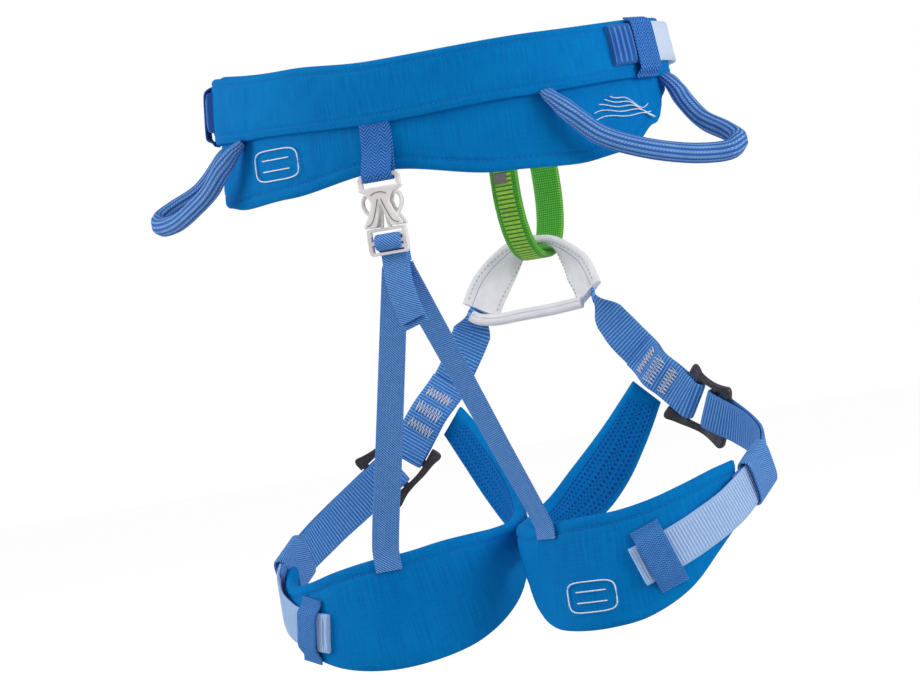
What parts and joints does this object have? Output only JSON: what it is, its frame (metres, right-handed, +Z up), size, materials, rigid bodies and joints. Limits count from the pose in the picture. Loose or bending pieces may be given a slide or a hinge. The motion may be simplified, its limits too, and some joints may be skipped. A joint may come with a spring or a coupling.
{
  "type": "climbing sit harness",
  "caption": "Child's sit harness worn shape: padded waist belt and leg loops, belay loop, yoke, elastic rear straps, buckles and gear loops.",
  "frame": {"origin": "the belay loop's seat: the inner face of its lower bend, in the plane of symmetry", "axes": "+X the wearer's right, +Y the way the wearer faces, +Z up"},
  "size_m": [0.3493, 0.234, 0.3318],
  "materials": {
    "pad_fabric": "woven polyester cover, matt",
    "pad_mesh": "perforated mesh lining",
    "foam": "closed-cell foam",
    "webbing": "ribbed polyamide webbing",
    "elastic": "herringbone elastic webbing",
    "belay_webbing": "green polyamide webbing with a lighter ladder rib",
    "white_webbing": "pale woven sheath",
    "buckle_steel": "dark satin coating",
    "buckle_plastic": "moulded, lightly grained",
    "tube_plastic": "extruded tube"
  },
  "bodies": {
    "waist": {"waist_pad_cover": "pad_fabric", "waist_pad_foam": "foam", "waist_pad_lining": "pad_mesh", "waist_band_sleeve": "pad_fabric", "waist_strap": "webbing", "waist_front_strap": "webbing", "waist_tie_in_loop": "white_webbing", "waist_keeper_left": "elastic", "waist_keeper_right": "elastic", "leg_yoke_sheath": "white_webbing", "leg_yoke_tie": "white_webbing", "rear_anchor_strap": "elastic", "rear_buckle_male": "buckle_plastic", "drop_strap_left": "elastic", "drop_strap_right": "elastic"},
    "leg_left": {"leg_pad_cover_left": "pad_fabric", "leg_pad_foam_left": "foam", "leg_pad_lining_left": "pad_mesh", "leg_riser_left": "webbing", "leg_strap_left": "webbing", "leg_strap_loop_left": "webbing", "leg_keeper_left": "elastic"},
    "leg_right": {"leg_pad_cover_right": "pad_fabric", "leg_pad_foam_right": "foam", "leg_pad_lining_right": "pad_mesh", "leg_riser_right": "webbing", "leg_strap_right": "webbing", "leg_strap_loop_right": "webbing", "leg_keeper_right": "elastic"},
    "leg_buckle_left": {"leg_buckle_left": "buckle_steel"},
    "leg_buckle_right": {"leg_buckle_right": "buckle_steel"},
    "waist_buckle_left": {"waist_buckle_left": "buckle_steel"},
    "waist_buckle_right": {"waist_buckle_right": "buckle_steel"},
    "belay": {"belay_loop": "belay_webbing", "belay_loop_tab": "belay_webbing"},
    "gear_left": {"gear_loop_left": "webbing", "gear_loop_core_left": "tube_plastic"},
    "gear_right": {"gear_loop_right": "webbing", "gear_loop_core_right": "tube_plastic"},
    "rear_female": {"rear_buckle_female": "buckle_plastic"},
    "prong_left": {"rear_buckle_prong_left": "buckle_plastic"},
    "prong_right": {"rear_buckle_prong_right": "buckle_plastic"}
  },
  "joints": [
    {"name": "leg_left_swing", "type": "hinge", "parent": "waist", "child": "leg_left", "pos_m": [0, -0.01566, -0.02635], "axis": [1, 0, 0], "range_deg": [-8, 22], "deforming": ["leg_riser_left", "drop_strap_left"]},
    {"name": "leg_right_swing", "type": "hinge", "parent": "waist", "child": "leg_right", "pos_m": [0, -0.01566, -0.02635], "axis": [1, 0, 0], "range_deg": [-8, 22], "deforming": ["leg_riser_right", "drop_strap_right"]},
    {"name": "leg_buckle_left_tilt", "type": "hinge", "parent": "leg_left", "child": "leg_buckle_left", "pos_m": [-0.08673, -0.02686, -0.10035], "axis": [0.7456, 0.2155, -0.6307], "range_deg": [0, 25], "deforming": ["leg_strap_left"]},
    {"name": "leg_buckle_right_tilt", "type": "hinge", "parent": "leg_right", "child": "leg_buckle_right", "pos_m": [0.08872, -0.02715, -0.09381], "axis": [0.5762, -0.187, 0.7957], "range_deg": [0, 25], "deforming": ["leg_strap_right"]},
    {"name": "waist_buckle_left_tilt", "type": "hinge", "parent": "waist", "child": "waist_buckle_left", "pos_m": [-0.0871, -0.03489, 0.10097], "axis": [-0.0432, 0.0353, -0.9984], "range_deg": [0, 25], "deforming": ["waist_strap"]},
    {"name": "waist_buckle_right_tilt", "type": "hinge", "parent": "waist", "child": "waist_buckle_right", "pos_m": [0.0871, -0.03489, 0.09753], "axis": [-0.0162, -0.0541, 0.9984], "range_deg": [0, 25], "deforming": ["waist_strap"]},
    {"name": "belay_loop_swing", "type": "hinge", "parent": "waist", "child": "belay", "pos_m": [0, 0, 0.07301], "axis": [1, 0, 0], "range_deg": [-3, 5]},
    {"name": "gear_loop_left_lift", "type": "hinge", "parent": "waist", "child": "gear_left", "pos_m": [-0.11353, -0.13792, 0.07783], "axis": [-0.523, 0.8515, 0.0368], "range_deg": [-12, 60]},
    {"name": "gear_loop_right_lift", "type": "hinge", "parent": "waist", "child": "gear_right", "pos_m": [0.11353, -0.13792, 0.07359], "axis": [-0.5233, -0.8519, -0.0183], "range_deg": [-12, 60]},
    {"name": "rear_buckle_release", "type": "slide", "parent": "waist", "child": "rear_female", "axis": [0, 0, 1], "range_m": [0, 0.018], "deforming": ["rear_anchor_strap"]},
    {"name": "rear_prong_left_squeeze", "type": "hinge", "parent": "waist", "child": "prong_left", "pos_m": [-0.00529, -0.19764, 0.02182], "axis": [0, 1, 0], "range_deg": [0, 5]},
    {"name": "rear_prong_right_squeeze", "type": "hinge", "parent": "waist", "child": "prong_right", "pos_m": [0.00529, -0.19764, 0.02182], "axis": [0, 1, 0], "range_deg": [-5, 0]}
  ]
}
